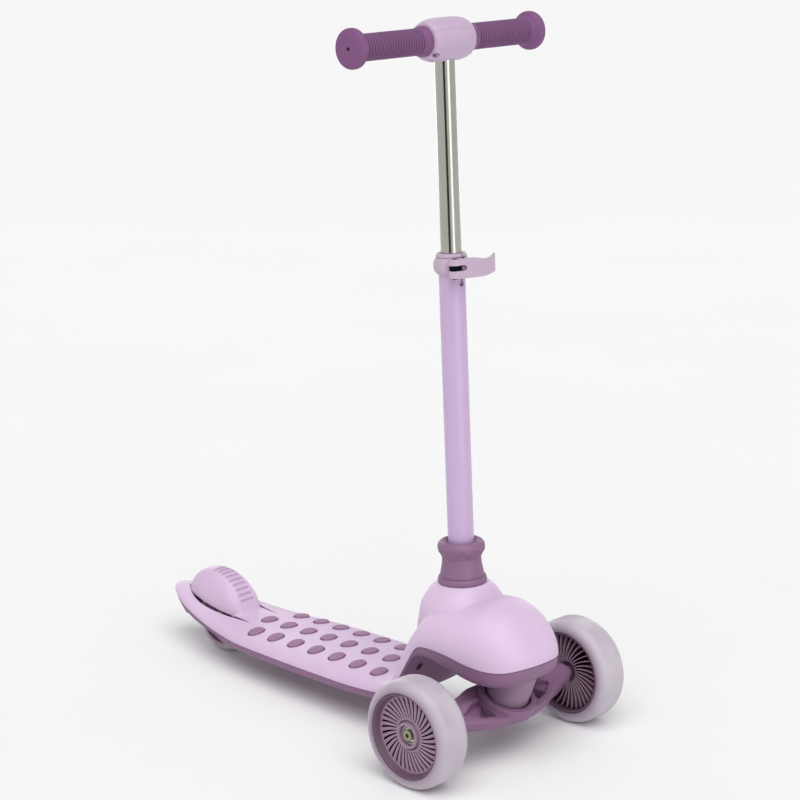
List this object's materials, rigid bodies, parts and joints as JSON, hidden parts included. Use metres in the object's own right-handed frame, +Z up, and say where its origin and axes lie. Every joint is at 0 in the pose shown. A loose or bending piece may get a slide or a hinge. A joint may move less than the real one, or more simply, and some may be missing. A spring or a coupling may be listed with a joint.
{
  "type": "three wheel kids scooter",
  "caption": "Lean-to-steer toddler scooter with two front wheels on a tilting truck, one braked rear wheel, a moulded deck and a height-adjustable T-bar with a lever clamp.",
  "frame": {"origin": "centre of the bounding box at floor level, where the three tyres stand", "axes": "+Z up, -Y towards the nose and the way of travel, +X to the rider's left"},
  "size_m": [0.3, 0.605, 0.7959],
  "materials": {
    "lilac": "satin lilac polypropylene",
    "paint": "smooth lilac paint on steel tube",
    "mauve": "satin mauve nylon",
    "rubber": "matt mauve rubber",
    "tyre": "smooth translucent grey polyurethane",
    "chrome": "polished chrome",
    "nylon": "plain nylon",
    "steel": "zinc plated"
  },
  "bodies": {
    "chassis": {"deck_top_shell": "lilac", "lower_shell": "mauve", "deck_mat": "rubber", "shell_screw_left": "steel", "shell_screw_right": "steel", "steering_housing": "mauve", "steering_bush": "rubber", "thrust_washer": "nylon", "stem_socket": "nylon", "collar_base": "mauve", "collet": "nylon", "outer_tube": "paint", "tube_bush": "lilac", "clamp_collar": "lilac", "clamp_bolt": "steel", "clamp_pivot": "steel", "rear_axle_bolt": "steel", "rear_axle_nut": "steel", "rear_spacer_left": "steel", "rear_spacer_right": "steel"},
    "brake": {"brake_fender": "lilac", "brake_shoe": "nylon"},
    "truck": {"truck_beam": "mauve", "kingpin_bolt": "steel", "kingpin_washer": "steel", "kingpin_nut": "steel", "front_left_axle_bolt": "chrome", "front_left_washer": "steel", "front_right_axle_bolt": "chrome", "front_right_washer": "steel"},
    "front_left_wheel": {"front_left_tyre": "tyre", "front_left_hub": "mauve", "front_left_bearing_outer": "steel", "front_left_bearing_inner": "steel", "front_left_spacer": "steel"},
    "front_right_wheel": {"front_right_tyre": "tyre", "front_right_hub": "mauve", "front_right_bearing_outer": "steel", "front_right_bearing_inner": "steel", "front_right_spacer": "steel"},
    "rear_wheel": {"rear_tyre": "tyre", "rear_hub": "mauve", "rear_bearing_left": "steel", "rear_bearing_right": "steel"},
    "collar": {"lock_collar": "mauve"},
    "button": {"release_button": "mauve"},
    "lever": {"clamp_lever": "lilac"},
    "handlebar": {"inner_tube": "chrome", "tube_guide": "nylon", "crossbar": "chrome", "bar_hub_front": "lilac", "bar_hub_rear": "lilac", "hub_screw_left": "steel", "hub_screw_right": "steel", "grip_left": "rubber", "grip_right": "rubber"}
  },
  "joints": [
    {"name": "truck_steer", "type": "hinge", "parent": "chassis", "child": "truck", "pos_m": [0, -0.24672, 0.05685], "axis": [0, -0.3584, 0.9336], "range_deg": [-15, 15], "stiffness_Nm_per_rad": 12},
    {"name": "front_left_wheel_spin", "type": "hinge", "parent": "truck", "child": "front_left_wheel", "pos_m": [0.129, -0.2385, 0.06], "axis": [1, 0, 0], "continuous": true},
    {"name": "front_right_wheel_spin", "type": "hinge", "parent": "truck", "child": "front_right_wheel", "pos_m": [-0.129, -0.2385, 0.06], "axis": [1, 0, 0], "continuous": true},
    {"name": "rear_wheel_spin", "type": "hinge", "parent": "chassis", "child": "rear_wheel", "pos_m": [0, 0.2105, 0.04], "axis": [1, 0, 0], "continuous": true},
    {"name": "brake_press", "type": "hinge", "parent": "chassis", "child": "brake", "pos_m": [0, 0.1485, 0.0575], "axis": [-1, 0, 0], "range_deg": [0, 2], "stiffness_Nm_per_rad": 60},
    {"name": "handlebar_height", "type": "slide", "parent": "chassis", "child": "handlebar", "axis": [0, 0.0541, 0.9985], "range_m": [-0.16, 0]},
    {"name": "collar_turn", "type": "hinge", "parent": "chassis", "child": "collar", "pos_m": [0, -0.18134, 0.20969], "axis": [0, 0.0541, 0.9985], "range_deg": [0, 60]},
    {"name": "lever_swing", "type": "hinge", "parent": "chassis", "child": "lever", "pos_m": [-0.0145, -0.18224, 0.53522], "axis": [0, -0.0541, -0.9985], "range_deg": [0, 120]},
    {"name": "button_press", "type": "slide", "parent": "chassis", "child": "button", "axis": [0, -0.9985, 0.0541], "range_m": [0, 0.004], "stiffness_N_per_m": 800}
  ]
}
